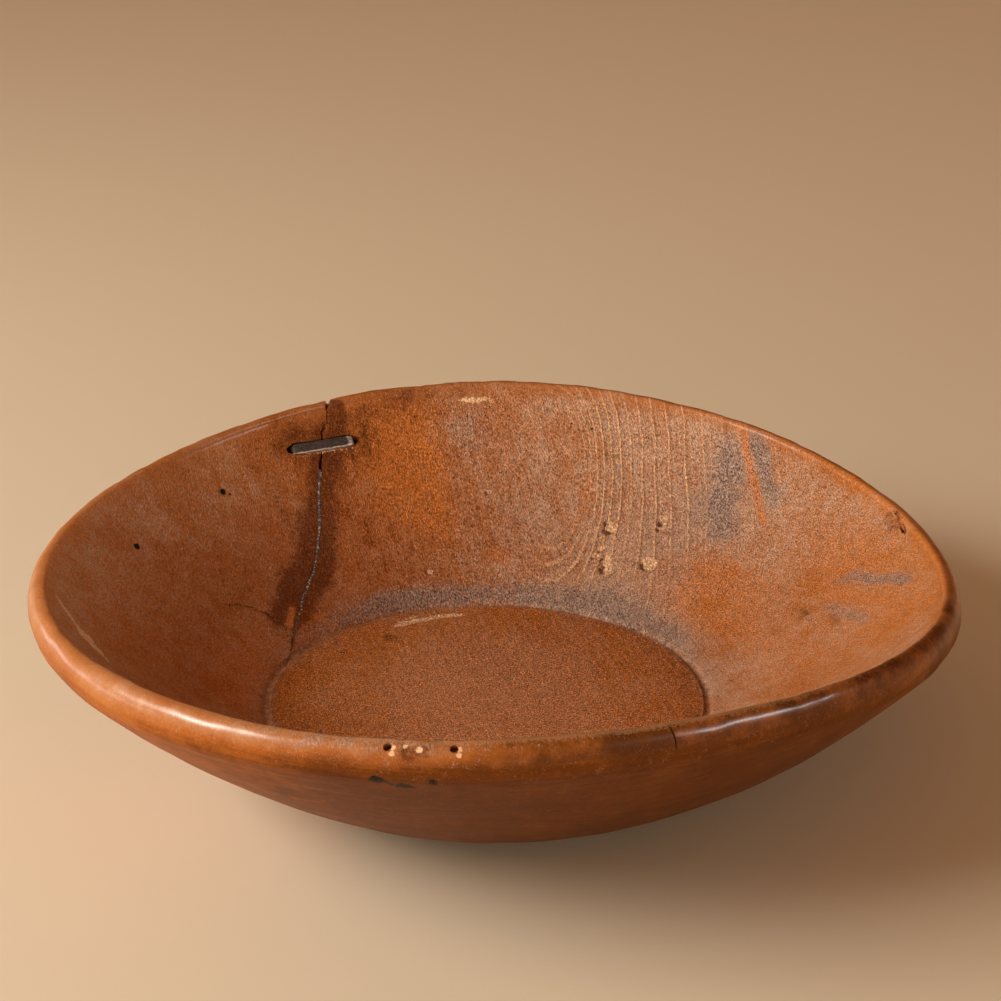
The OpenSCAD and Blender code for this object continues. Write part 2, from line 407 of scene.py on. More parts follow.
# Scratches, gouges and cracks, each a run of places
DISC_GOUGE = [(-62.5, 80, 21.5), (-52.5, 86.5, 21.2), (-39.7, 92, 20.9), (-26.3, 95, 20.6)]
DISC_GOUGE_2 = [(-61, 85.5, 21.1), (-54.3, 91.3, 20.7), (-49.7, 94.5, 20.6)]
FOOT_CRACK = [(83.5, 80.5, 26.1), (82.8, 72, 23.6), (82.5, 63.9, 21.9)]
RIM_SLIT = [(192, 86, 83.6), (193, 83, 82.6), (195, 71.5, 79.4), (195.5, 67, 78.8)]
LEFT_CREASE = [(-149.5, 57.5, 44.3), (-142, 64, 41), (-135.6, 67.8, 38.3), (-127, 69.5, 33.5),
               (-118.6, 68.1, 28.6)]
DISC_LINE = [(-86.7, 22.6, 21.2), (-79, 4, 21.8), (-71, -16, 22.1)]
DISC_LINE_2 = [(20, 60, 22.2), (38, 30, 22.6), (52, -5, 22.3)]
SCUFF_MIDDLE = wall_point(199.0, 0.847)
SCUFF_TAIL = [wall_point(a, v) for a, v in (
    (191.5, 0.97), (195.5, 0.9), (199, 0.85), (202.5, 0.8), (205, 0.77))]
# How they cut the surface: places, width, depth
CUTS = [
    (DISC_GOUGE, 1.5, 0.7), (DISC_GOUGE_2, 1.0, 0.4), (FOOT_CRACK, 0.6, 0.6), (RIM_SLIT, 0.9, 1.6),
    (LEFT_CREASE, 1.7, 0.6), (DISC_LINE, 0.9, 0.25), (DISC_LINE_2, 0.9, 0.2), (SCUFF_TAIL, 1.6, 0.2),
]


def rough(points, size, seed, octaves=2):
    """Smooth noise from about -1 to 1 with features of a given size in millimetres."""
    shift = Vector((seed * 17.3, seed * 5.1, seed * 9.7))
    value = [noise.fractal(Vector(p) / size + shift, 0.9, 2.1, octaves) for p in points.tolist()]
    return np.array(value) * 1.2


def relief(place):
    """Height of the carved, weathered and damaged surface above the smooth one, in millimetres."""
    p = place.points
    standing = ease((p[:, 2] - 0.5) / 6)
    height = standing * (0.55 * rough(p, 60, 1) + 0.16 * rough(p, 17, 2))
    lip = np.exp(-(place.over_rim / 9) ** 2 - ((place.past_rim - 2) / 9) ** 2)
    height += 0.3 * lip * rough(p, 11, 4)
    height -= place.rim_patch(264, 8, 1.0, down=6, past=6) * (1.0 + 0.9 * rough(p, 6, 5))
    height -= 0.35 * place.rim_patch(100, 6, 1.0) * (1 + rough(p, 7, 6))
    for angle, rise, radius, depth in PITS + CHIPS:
        height -= depth * place.spot(wall_point(angle, rise), radius)
    for path, width, depth in CUTS:
        height -= place.line(path, width, depth)
    return height - 0.25 * place.spot(SCUFF_MIDDLE, 5)


# ---- Masks: what the wood's material reads from the mesh ----

# Warm, grey, dark and bare patches of the inner wall: angle, height on the wall, length, height, strength
WARM = [
    (102.5, 0.62, 11, 24, 0.9), (104.5, 0.5, 9, 12, 0.8), (100, 0.4, 7, 8, 0.6), (88.4, 0.25, 6, 5, 0.8),
    (107, 0.76, 22, 24, 0.65), (110, 0.55, 14, 18, 0.4), (345, 0.5, 110, 60, 0.4), (200, 0.6, 110, 50, 0.65),
    (73.3, 0.6, 3.5, 22, 0.55), (77.7, 0.63, 3, 16, 0.35), (38, 0.34, 26, 17, 1.35),
    (28, 0.24, 30, 12, 0.6), (24, 0.72, 40, 26, 0.5), (10, 0.8, 40, 24, 0.65), (357, 0.8, 25, 22, 0.5),
    (8, 0.35, 40, 20, 0.35), (141, 0.1, 9, 9, 1.0), (175, 0.12, 45, 16, 0.9), (122, 0.55, 5, 40, 0.3),
]
HAZE = [
    (52, 0.9, 9, 12, 0.5), (55, 0.55, 26, 42, 0.42), (58, 0.1, 24, 14, 0.6), (78, 0.07, 26, 11, 0.4),
    (95, 0.82, 22, 18, 0.55), (84, 0.45, 20, 26, 0.35), (112, 0.06, 34, 9, 0.65), (47, 0.3, 8, 10, 0.35),
    (38, 0.06, 20, 9, 0.5), (50, 0.72, 14, 36, 0.3),
]
DARK = [
    (119.5, 0.86, 10, 11, 0.2), (150, 0.4, 14, 14, 0.2), (17, 0.5, 14, 4, 0.5), (10, 0.58, 16, 3, 0.4),
    (104, 0.98, 14, 4, 0.7), (96, 0.98, 10, 3, 0.4), (22, 0.97, 9, 4, 0.7), (131, 0.64, 6, 20, 0.35),
    (123.5, 0.93, 8, 6, 0.9), (127, 0.89, 7, 5, 0.8),
]
BARE = [(93.5, 0.955, 13, 2.2, 0.5), (66, 0.2, 10, 4, 0.35)]
# Where the curved figure of the rings shows, in the same terms
FIGURE = [(62, 0.62, 66, 105, 1.15), (82, 0.42, 34, 62, 0.7)]
# Patches of the lip: direction, reach along it in degrees, strength, height, width
LIP_WARM = [(30, 30, 0.6), (180, 50, 0.6)]
LIP_HAZE = [(330, 12, 0.15, 6, 6), (347, 7, 0.2, 5, 5), (256, 16, 0.6, 7, 7)]
LIP_DARK = [(300, 22, 0.4, 9, 5), (335, 14, 0.5), (95, 40, 0.25, 5)]
LIP_DARK += [(a, 2.0, 0.75, 4, 4) for a in (318, 325, 333, 340, 349)]
# Smears, lines and cracks: places, half width, strength
GREY_LINES = [
    ([(111.6, 183, 92), (112.8, 165, 79), (113.6, 144, 65), (114.5, 117, 50)], 8.0, 0.42),
    ([(107, 150, 67), (108, 120, 49)], 6.0, 0.4),
    ([(129, 174, 92), (132, 158, 82), (134, 144, 73), (136.4, 127, 65)], 5.0, 1.0),
    ([(141, 140, 74), (142, 135, 72)], 3.0, 0.7),
    ([(160, 61, 56), (169, 58, 60), (178, 45, 63), (187, 36, 69), (194, 22, 73)], 5.0, 1.0),
    ([(153, 47, 48), (163, 30, 52), (172, 8, 57)], 5.5, 0.75),
]
SLIVER = [(-113.5, 82, 33), (-115, 75, 29.2), (-116.2, 67, 25.6)]
ORANGE_LINES = [
    ([(156.2, 52.3, 50.1), (177.7, 26.9, 61.3), (199.5, -21.7, 83.2)], 1.5, 1.8),
    ([(121.5, 183, 97), (122.4, 177, 92), (126, 155, 77), (129, 137, 67), (130.6, 118.6, 58)], 1.7, 1.8),
    (SLIVER, 2.0, 1.3),
]
# Cracks and a crease painted black: painted shade in them
BLACK_LINES = [(FOOT_CRACK, 0.5, 1.0), (RIM_SLIT, 1.4, 1.2), (LEFT_CREASE, 1.3, 0.6)]
STAPLE_EDGE = [from_staple((-CROWN_W / 2 - 0.7, y, 0)) for y in (-17, 0, 16)]
RIM_SCUFF = [wall_point(a, v) for a, v in ((96.5, 0.945), (93, 0.955), (90, 0.96))]
BARE_LINES = [
    (DISC_GOUGE, 2.3, 1.6), (DISC_GOUGE_2, 1.4, 0.7), (SCUFF_TAIL, 1.8, 0.8), (STAPLE_EDGE, 0.7, 0.8),
    (RIM_SCUFF, 0.7, 0.65),
]
# Round marks: place, radius, strength
DARK_SPOTS = [
    ((-64, 65, 22.6), 4.2, 0.9), (lip_point(260.4, 40), 3.6, 0.7), (lip_point(262.2, 45), 3.0, 0.5),
]
# Black spots: painted shade in small holes, at the holes of the lip and in the staple's pockets
BLACK_SPOTS = [
    ((-86.6, 48.3, 21.3), 1.3, 1.0), ((66, 81.5, 20.5), 1.0, 1.0), (lip_point(257.2, -45), 3.6, 0.95),
    (outer_point(259.8, 0.98), 4.2, 0.95), (lip_point(263, -37), 2.4, 0.8), (lip_point(290, -45), 1.8, 0.5),
]
BLACK_SPOTS += [(from_staple((0, side * (CROWN_L / 2 + 1.4), -1.0)), 2.4, 1.0) for side in (-1, 1)]
BARE_SPOTS = [
    (SCUFF_MIDDLE, 5.2, 0.85), (wall_point(201.5, 0.82), 4.0, 0.8), ((72.9, 63, 20.4), 2.4, 0.6),
    (lip_point(260.2, 62), 1.1, 0.8), (lip_point(261.6, 52), 1.4, 0.8), ((-115, 165.4, 89.5), 1.2, 0.9),
    ((-80, 47, 21.6), 1.6, 0.3),
]
BARE_SPOTS += [(lip_point(a + aside, q), 1.15, 1.0)
               for a in HOLE_ANGLES for aside, q in ((0.62, 56), (0.58, 38))]
# Stain beside the split: how far to its right, from y and to y, half width, strength
STAINS = [(5.5, 176, 96, 6.5, 0.95), (-3.0, 178, 130, 3.5, 0.8), (-4.5, 138, 62, 7.0, 1.15),
          (3.5, 116, 72, 5.0, 1.0), (-10, 104, 62, 6.0, 0.6)]
# Dark block right of the split at the rim: two corners in plan, strength
RIM_STAIN = (-101, 171), (-91, 190), 1.5

# Lightness of the wood, from 0 to 1, by direction
WALL_TONE = ((0, 30, 50, 62, 80, 100, 118, 130, 150, 200, 260, 310, 360),
             (0.83, 0.88, 0.95, 1.0, 0.84, 0.65, 0.56, 0.59, 0.72, 0.88, 0.78, 0.74, 0.83))
LIP_TONE = ((0, 60, 120, 180, 235, 258, 270, 283, 300, 330, 360),
            (0.48, 0.44, 0.62, 0.68, 0.7, 0.56, 0.42, 0.2, 0.29, 0.4, 0.5))
# The outer wall is lighter on the left: partly the wood, partly a painted sheen where the window light falls
OUTSIDE_TONE_AND_SHEEN = ((0, 120, 180, 200, 225, 250, 300, 330, 360),
                (0.3, 0.26, 0.36, 0.46, 0.43, 0.18, 0.13, 0.25, 0.3))
# Lightness of the disc, how much its middle adds, and how far the middle reaches
DISC_TONE, DISC_MIDDLE, DISC_MIDDLE_R = 0.64, 0.66, 60.0
# How rough the surface feels, from 0 to 1, by direction
WALL_GRIT = ((0, 40, 100, 130, 170, 300, 360), (0.55, 0.85, 0.85, 0.6, 0.45, 0.5, 0.55))
DISC_GRIT = 0.75
SMOOTH_GRIT = 0.12


def stain_line(place, aside, start, end, width, strength):
    ys = np.linspace(start, end, 8)
    path = [(float(split_x(y)) + aside, y, wall_height(split_x(y) + aside, y)) for y in ys]
    return place.line(path, width, strength)


def block(place, corner, far_corner, strength, soft=1.2):
    """Patch with straight sides between two corners in plan."""
    x, y = place.points[:, 0], place.points[:, 1]
    across = ease((x - corner[0]) / soft) * ease((far_corner[0] - x) / soft)
    return strength * place.wall * across * ease((y - corner[1]) / soft) * ease((far_corner[1] - y) / soft)


def shards(place, chips, strength):
    """Chips made of a few broken flakes each."""
    total = 0
    for angle, rise, radius, _ in chips:
        middle = wall_point(angle, rise)
        for _ in range(3):
            shift = RANDOM.normal(0, radius * 0.45, 3)
            total = total + place.spot(middle + shift, radius * RANDOM.uniform(0.45, 0.85), strength)
    return total


def paint_tone(place, lip):
    """How light the bare wood is, from 0 to 1, with a painted sheen in the lighter left of the outer wall.
    """
    wall = np.interp(place.angle, *WALL_TONE) - 0.28 * place.patch(112, 0.92, 50, 24, 1.0)
    disc = DISC_TONE + DISC_MIDDLE * np.exp(-(place.disc / DISC_MIDDLE_R) ** 2)
    inner = wall + (disc - wall) * ease((DISC_R + 2 - place.disc) / 3)
    # The outer wall is painted a little darker towards the bottom
    outer = np.interp(place.rim_angle, *OUTSIDE_TONE_AND_SHEEN) - 0.05 * ease((40 - place.points[:, 2]) / 40)
    tone = outer + (inner - outer) * place.inside
    return tone + (np.interp(place.rim_angle, *LIP_TONE) - tone) * np.clip(lip, 0, 1)


def paint_warm(place, on_disc):
    """Warm wood: patches of the wall and lip, and the whole disc."""
    warm = sum(place.patch(*row) for row in WARM)
    warm += sum(place.rim_patch(*row) for row in LIP_WARM)
    return warm + 1.15 * on_disc + 0.3 * place.wall


def paint_haze(place):
    """Greyed wood: worn patches, smears and the dusty foot of the wall."""
    haze = sum(place.patch(*row) for row in HAZE)
    haze += sum(place.rim_patch(*row) for row in LIP_HAZE)
    haze += sum(place.line(*row) for row in GREY_LINES) * place.wall
    foot = np.exp(-((place.disc - FOOT_R - 1) / 10) ** 2) * place.inside
    return haze + foot * (0.28 + 0.4 * ease(1.3 - np.abs(turn(place.angle, 82)) / 80))


def paint_dark(place):
    """Dark stains beside the split and on the lip, a darker groove, and painted shade beside the chips and
    just inside the edge of the disc.
    """
    dark = sum(place.patch(*row) for row in DARK)
    dark += sum(place.rim_patch(*row) for row in LIP_DARK)
    dark += sum(place.spot(*row) for row in DARK_SPOTS)
    # Painted shadow at one side of each chip
    dark += sum(place.spot(wall_point(a + 0.45, v - 0.012), r * 0.9) for a, v, r, _ in CHIPS)
    dark += sum(stain_line(place, *row) for row in STAINS) * place.wall
    dark += block(place, *RIM_STAIN) + place.line(split_path(), 2.0, 0.5)
    # The groove is painted darker, and painted shade darkens the disc just inside its edge, most at its left
    # and right
    groove = 0.18 * np.exp(-((place.disc - DISC_R - GROOVE_W * 0.4) / 2.2) ** 2)
    groove += 0.42 * np.exp(-((place.disc - DISC_R + 5) / 8) ** 2) * np.abs(cosd(place.angle))
    return dark + groove * place.inside - place.line(SLIVER, 2.2, 1.6)


def paint_depth_shade(place):
    """Black painted into pits, holes, cracks and the staple's pockets: painted shade in their depths."""
    black = sum(place.spot(wall_point(a, v), r * 0.8) for a, v, r, _ in PITS)
    black += sum(place.spot(*row) for row in BLACK_SPOTS)
    black += sum(place.line(*row) for row in BLACK_LINES)
    return np.clip(black, 0, 1)


def paint_bare(place):
    """Raw wood where the patina is gone."""
    bare = shards(place, CHIPS, 1.6)
    bare += sum(place.line(*row) for row in BARE_LINES)
    bare += sum(place.spot(*row) for row in BARE_SPOTS)
    bare += sum(place.patch(*row) for row in BARE)
    return np.clip(bare, 0, 1)


def paint_wear_and_edge_highlight(place):
    """Pale wear on the crest of the lip, and a painted highlight along the rounded edge of the disc."""
    crest = np.exp(-(place.over_rim / 3) ** 2 - ((place.past_rim + 0.8) / 3.5) ** 2)
    wear_and_edge_highlight = crest * (0.1 + 0.85 * np.exp(-(turn(place.rim_angle, 285) / 34) ** 2))
    wear_and_edge_highlight += place.rim_patch(252, 15, 0.3, down=7, past=7)
    # Painted highlight along the rounded edge of the disc
    return wear_and_edge_highlight + 0.42 * np.exp(-((place.disc - DISC_R + 1) / 1.6) ** 2) * place.inside


def paint(place):
    """Each mask of the wood as one number per point."""
    on_disc = place.inside * ease((DISC_R + 1 - place.disc) / 2)
    lip = np.exp(-((place.over_rim + 3) / 6) ** 2 - ((place.past_rim - 3) / 7) ** 2)
    outside = 1 - np.clip(place.inside + lip, 0, 1)
    orange = np.clip(sum(place.line(*row) for row in ORANGE_LINES) * place.wall, 0, 1)
    inner_grit = np.interp(place.angle, *WALL_GRIT) + DISC_GRIT * on_disc
    return {
        "tone": paint_tone(place, lip),
        "warm": paint_warm(place, on_disc),
        "haze": paint_haze(place) * (1 - orange),
        "orange": orange,
        "dark": paint_dark(place),
        "depth_shade": paint_depth_shade(place),
        "bare": paint_bare(place),
        "wear_and_edge_highlight": paint_wear_and_edge_highlight(place),
        "figure": sum(place.patch(*row) for row in FIGURE) * ease((place.points[:, 0] + 5) / 30),
        "polish": lip + 0.25 * outside,
        "grit": place.inside * (1 - lip) * inner_grit + SMOOTH_GRIT * (1 + outside),
        "outside": outside,
    }


# ---- Meshes ----

COLUMNS = 420
FEATURE_REACH = 5.0


def bowl_rings():
    """Rings of points from the middle of the disc over the rim to the middle of the base."""
    a = np.arange(COLUMNS) * 360 / COLUMNS
    rings = [disc_point(a, k) for k in np.linspace(0.03, 1, 30)]
    rings += [groove_point(a, t) for t in np.linspace(0, 1, 8)[1:-1]]
    rings += [wall_point(a, v) for v in np.linspace(0, 1, 62)]
    rings += [lip_point(a, q) for q in np.linspace(180, -45, 27)[1:]]
    rings += [outer_point(a, u) for u in np.linspace(1, 0, 46)[1:]]
    rings += [lifted((0, 0), BASE_R * k, a, 0.0) for k in (0.97, 0.8, 0.5, 0.2)]
    return rings


def grid_mesh(name, rings):
    """Closed mesh over a stack of rings, with a point in the middle of the first and the last."""
    count, columns = len(rings), len(rings[0])
    ends = [rings[0].mean(0), rings[-1].mean(0)]
    points = np.concatenate(rings + [np.array(ends)])
    index = np.arange(count * columns).reshape(count, columns)
    here, there = index[:-1], index[1:]
    quads = np.stack([here, there, np.roll(there, -1, 1), np.roll(here, -1, 1)], -1).reshape(-1, 4)
    first, last = count * columns, count * columns + 1
    faces = quads.tolist()
    faces += [[first, a, b] for a, b in zip(index[0], np.roll(index[0], -1))]
    faces += [[last, b, a] for a, b in zip(index[-1], np.roll(index[-1], -1))]
    mesh = bpy.data.meshes.new(name)
    mesh.from_pydata(points.tolist(), [], faces)
    return mesh


def mesh_points(mesh):
    """The mesh's points as rows of an array."""
    flat = np.zeros(len(mesh.vertices) * 3)
    mesh.vertices.foreach_get("co", flat)
    return flat.reshape(-1, 3)


def refine(mesh, wanted):
    """Splits each face in four where wanted says so."""
    shape = bmesh.new()
    shape.from_mesh(mesh)
    centres = np.array([face.calc_center_median() for face in shape.faces])
    chosen = wanted(centres)
    edges = {edge for face, take in zip(shape.faces, chosen) if take for edge in face.edges}
    bmesh.ops.subdivide_edges(shape, edges=list(edges), cuts=1, use_grid_fill=True)
    shape.to_mesh(mesh)
    shape.free()


def near_features(points, reach):
    """True near small damage that needs a fine mesh."""
    close = np.zeros(len(points), bool)
    spots = [(wall_point(a, v), r) for a, v, r, _ in PITS + CHIPS] + [(SCUFF_MIDDLE, 6)]
    spots += [(lip_point(a, HOLE_Q), 3.5) for a in HOLE_ANGLES] + [(lip_point(260.7, 55), 4)]
    for middle, radius in spots:
        close |= np.linalg.norm(points - middle, axis=1) < radius + reach * 0.5
    for path in (split_path(), DISC_GOUGE, DISC_GOUGE_2, FOOT_CRACK, RIM_SLIT, LEFT_CREASE, SCUFF_TAIL):
        close |= distance_to_path(points, path)[0] < reach
    return close


def push_out(mesh, height):
    """Moves each point of a mesh along its normal by its own height."""
    normals = np.zeros(len(mesh.vertices) * 3)
    mesh.vertex_normals.foreach_get("vector", normals)
    moved = mesh_points(mesh) + normals.reshape(-1, 3) * height[:, None]
    mesh.vertices.foreach_set("co", moved.ravel())
    mesh.update()


def new_object(name, mesh):
    made = bpy.data.objects.new(name, mesh)
    bpy.context.scene.collection.objects.link(made)
    return made


def cut_away(target, cutters):
    """Subtracts each cutter from the target and removes the cutters."""
    for cutter in cutters:
        modifier = target.modifiers.new("cut", "BOOLEAN")
        modifier.operation = "DIFFERENCE"
        modifier.solver = "MANIFOLD"
        modifier.object = cutter
    graph = bpy.context.evaluated_depsgraph_get()
    mesh = bpy.data.meshes.new_from_object(target.evaluated_get(graph))
    target.modifiers.clear()
    target.data = mesh
    for cutter in cutters:
        bpy.data.objects.remove(cutter)


def ribbon_rings(ys, lows, tops, centres, halves):
    """Four corners at each place along the split."""
    return [np.array([[x - h, y, low], [x + h, y, low], [x + h, y, top], [x - h, y, top]])
            for y, low, top, x, h in zip(ys, lows, tops, centres, halves)]


def split_bottom(y):
    z = wall_height(split_x(y), min(y, THROUGH_Y)) - np.interp(y, *SPLIT_DEPTHS)
    return THROUGH_Z if y > THROUGH_Y else min(z, THROUGH_Z)


def split_cutter():
    ys = np.arange(SPLIT_FRONT, SPLIT_BACK, SPLIT_STEP)
    wander = RANDOM.normal(0, 0.3, len(ys)) * (1 + 2.0 * ease((ys - THROUGH_Y) / 12))
    halves = split_half(ys) * np.clip(RANDOM.normal(1.0, 0.22, len(ys)), 0.5, 1.7)
    rings = ribbon_rings(ys, [split_bottom(y) for y in ys], [160] * len(ys), split_x(ys) + wander, halves)
    return new_object("split_cutter", grid_mesh("split_cutter", rings))


def prism(name, outline, place, low, high):
    """Prism over an outline in the x-y plane from low to high, put in place by a function."""
    rings = [place(np.array([(x, y, z) for x, y in outline])) for z in (high, low)]
    return new_object(name, grid_mesh(name, rings))


def notch_cutter():
    """Broken notch where the split meets the rim."""
    top = float(crest_z(NOTCH_A)) + 1
    outline = [(-0.3, -5.0), (0.5, -4.0), (0.7, -2.8), (1.7, -1.8), (2.0, 8), (-1.7, 8), (-1.2, -1.4),
               (-0.9, -3.2)]
    shift = float(split_x(185))

    def upright(points):
        return np.stack([points[:, 0] + shift, points[:, 2], points[:, 1] + top], -1)
    return prism("notch_cutter", outline[::-1], upright, 176.0, 214.0)


def crown_outline(grow):
    w, l = CROWN_W / 2 + grow, CROWN_L / 2 + grow
    return [(w, -l + 2), (w, l - 2), (w * 0.68, l), (-w * 0.68, l),
            (-w, l - 2), (-w, -l + 2), (-w * 0.68, -l), (w * 0.68, -l)]


def seat_cutters():
    """Recess for the staple's crown and the torn pockets at its two ends."""
    made = [prism("seat_cutter", crown_outline(SLACK), from_staple, CROWN_UP - STRIP_T - 0.1, 6)]
    for side, narrow in ((-1, 0.15), (1, 0.3)):
        near, far = side * (CROWN_L / 2 - 1), side * (CROWN_L / 2 + POCKET_L)
        wide_end, thin_end = LEG_W * 0.75, LEG_W * narrow
        outline = [(-wide_end, near), (wide_end, near), (thin_end, far), (-thin_end, far)]
        made.append(prism("pocket_cutter", outline[::side], from_staple, -7, 6))
        y, w, t = side * LEG_Y, LEG_W / 2 + SLACK, STRIP_T / 2 + SLACK
        outline = [(-w, y - t), (w, y - t), (w, y + t), (-w, y + t)]
        made.append(prism("leg_cutter", outline, from_staple, -34, 3))
    return made


def tube_cutter(name, middle, axis, radius, low, high, sides=20):
    turned = Vector(axis).to_track_quat("Z", "Y").to_matrix()

    def place(points):
        return np.array(middle) + points @ np.array(turned).T
    wobble = 1 + 0.06 * np.sin(np.arange(sides) * 2.4)
    outline = [(radius * w * math.cos(t), radius * w * math.sin(t))
               for w, t in zip(wobble, np.arange(sides) * 2 * math.pi / sides)]
    return prism(name, outline, place, low, high)


def hole_cutters():
    """Two old holes drilled in the front lip."""
    made = []
    for a in HOLE_ANGLES:
        flat = math.sin(HOLE_TILT)
        axis = (flat * cosd(a), flat * sind(a), math.cos(HOLE_TILT))
        made.append(tube_cutter("hole_cutter", lip_point(a, HOLE_Q), axis, HOLE_R, -HOLE_DEEP, 6))
    return made


def check_cutter():
    """Short split across the lip at the front right."""
    middle = lip_point(CHECK_A, 45)
    across = np.array([cosd(CHECK_A + CHECK_SKEW), sind(CHECK_A + CHECK_SKEW), 0])
    side = np.array([-across[1], across[0], 0])
    level = math.cos(CHECK_LEAN)
    down = np.array([across[0] * level, across[1] * level, -math.sin(CHECK_LEAN)])
    out = np.cross(down, side)

    def place(points):
        return middle + points @ np.stack([down, side, out])
    w = CHECK_WIDTH / 2
    outline = [(-12, -w * 0.2), (-4, -w * 1.1), (2, -w * 0.5), (7, -w * 1.6), (14, -w * 0.2),
               (14, w * 0.2), (7, w * 0.3), (1, w * 1.4), (-5, w * 0.6), (-12, w * 0.2)]
    return prism("check_cutter", outline, place, -2.6, 6)


def store_masks(mesh, masks):
    for name, values in masks.items():
        attribute = mesh.attributes.new(name, "FLOAT", "POINT")
        attribute.data.foreach_set("value", values.astype(np.float32))


def finish_piece(piece, material, node):
    """Turns a piece from millimetres to metres and ties it to the frame."""
    piece.data.transform(Matrix.Scale(MM, 4))
    piece.data.materials.clear()
    piece.data.materials.append(material)
    piece.data.update()
    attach(piece, "root")
    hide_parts(node)


def make_bowl():
    mesh = grid_mesh("carved_bowl", bowl_rings())
    for reach in (FEATURE_REACH, FEATURE_REACH * 0.5):
        refine(mesh, lambda points, reach=reach: near_features(points, reach))
    push_out(mesh, relief(Place(mesh_points(mesh))))
    bowl = new_object("carved_bowl", mesh)
    cutters = [split_cutter(), notch_cutter(), *seat_cutters(), *hole_cutters(), check_cutter()]
    cut_away(bowl, cutters)
    store_masks(bowl.data, paint(Place(mesh_points(bowl.data))))
    bowl.data.shade_smooth()
    bowl.data.set_sharp_from_angle(angle=math.radians(38))
    finish_piece(bowl, wood_material(), "bowl_body")


def strip_depth(y):
    """How deep under the inner wall the outer wall lies, at a distance y along the crown."""
    depths = np.linspace(5, 40, 200)
    line = from_staple([(0, y, -d) for d in depths])
    return float(depths[np.argmax(above_outside(line) < 0)])


def rounded(path, radius, steps=4):
    """The same path with its corners rounded."""
    made = [path[0]]
    for before, corner, after in zip(path, path[1:], path[2:]):
        into = (before - corner) / np.linalg.norm(before - corner)
        away = (after - corner) / np.linalg.norm(after - corner)
        for t in np.linspace(0, 1, steps + 1):
            made.append(corner + radius * (into * (1 - t) ** 2 + away * t ** 2))
    return np.array(made + [path[-1]])


def staple_path():
    """Middle line of the strip: folded end, leg, crown, leg, folded end, as (along, out) pairs."""
    crown_z = CROWN_UP - STRIP_T / 2
    halves = []
    for side in (-1, 1):
        ys = side * np.array([LEG_Y - CLENCH_L, LEG_Y - CLENCH_L / 2, LEG_Y])
        clench = [(y, -strip_depth(y) - 1.5) for y in ys]
        halves.append(clench + [(side * LEG_Y, crown_z)])
    return rounded(np.array(halves[0] + halves[1][::-1]), 2.2)


def make_staple():
    """One forged strip: a flat crown, two legs through the wall and two folded ends outside."""
    path = staple_path()
    steps = np.linalg.norm(np.diff(path, axis=0), axis=1)
    at = np.concatenate([[0], np.cumsum(steps)])
    fine = np.linspace(0, at[-1], 150)
    ys, zs = np.interp(fine, at, path[:, 0]), np.interp(fine, at, path[:, 1])
    line = np.stack([np.zeros_like(ys), ys, zs], -1)
    heading = np.gradient(line, axis=0)
    heading /= np.linalg.norm(heading, axis=1)[:, None]
    across = np.array([1.0, 0, 0])
    on_crown = ease((zs + 3.0) / 2.2)
    tip = ease(np.minimum(fine, at[-1] - fine) / 6)
    width = (LEG_W / 2 + (CROWN_W - LEG_W) / 2 * on_crown) * (0.45 + 0.55 * tip)
    width *= 1 + 0.035 * np.sin(fine * 0.9) + 0.02 * np.sin(fine * 2.3)
    width *= 1 - 0.28 * on_crown * ease((np.abs(ys) - CROWN_L / 2 + 3.2) / 3)
    thick = STRIP_T / 2 * (0.55 + 0.45 * tip)
    corners = [(-1, -0.7), (-0.88, -1), (-0.45, -1), (0, -1), (0.45, -1), (0.88, -1), (1, -0.7), (1, 0.6),
               (0.86, 1), (0.45, 1.04), (0, 1.06), (-0.45, 1.04), (-0.86, 1), (-1, 0.6)]
    rings = []
    for centre, ahead, w, t in zip(line, heading, width, thick):
        up = np.cross(across, ahead)
        rings.append(np.array([centre + across * x * w + up * z * t for x, z in corners]))
    mesh = grid_mesh("forged_staple", [from_staple(ring) for ring in rings])
    points = mesh_points(mesh)
    push_out(mesh, 0.1 * rough(points, 2.6, 21) + 0.05 * rough(points, 0.9, 22) - 0.1)
    # Lighter lower edge and left end of the strip, a little on its upper edge: wear and painted highlight
    edge = np.tile([float(x < -0.8) + 0.25 * float(x > 0.8) for x, _ in corners], len(rings))
    edge += np.repeat(ease((-12.5 - ys) / 3) * on_crown, len(corners)) * 0.75
    store_masks(mesh, {"edge": np.concatenate([edge, [1, 1]])})
    mesh.shade_smooth()
    staple = new_object("forged_staple", mesh)
    smooth = staple.modifiers.new("smooth", "SUBSURF")
    smooth.levels = smooth.render_levels = 1
    finish_piece(staple, iron_material(), "crack_staple")


FILLER_FRONT, FILLER_BACK = 62.0, 158.0
FILLER_SUNK = 0.25


def make_filler():
    """Crusty old filler a little below the wood, all along the middle of the split."""
    ys = np.arange(FILLER_FRONT, FILLER_BACK, 0.7)
    tops = np.array([(float(split_x(y)), y, wall_height(split_x(y), y)) for y in ys])
    tops[:, 2] += relief(Place(tops)) * 1.1 - FILLER_SUNK
    rings = []
    for x, y, top in tops:
        half = float(split_half(y)) + 0.45
        low = split_bottom(y) + 0.4
        lumps = RANDOM.uniform(-0.22, 0.28, 4)
        shape = [(-1, low), (1, low), (1, top - 0.3), (0.6, top + lumps[0]), (0.2, top + 0.1 + lumps[1]),
                 (-0.3, top + 0.1 + lumps[2]), (-0.7, top + lumps[3]), (-1, top - 0.3)]
        rings.append(np.array([(x + half * s, y, z) for s, z in shape]))
    mesh = grid_mesh("split_crust", rings)
    mesh.shade_smooth()
    filler = new_object("split_crust", mesh)
    finish_piece(filler, filler_material(), "split_filler")


# ---- Materials ----


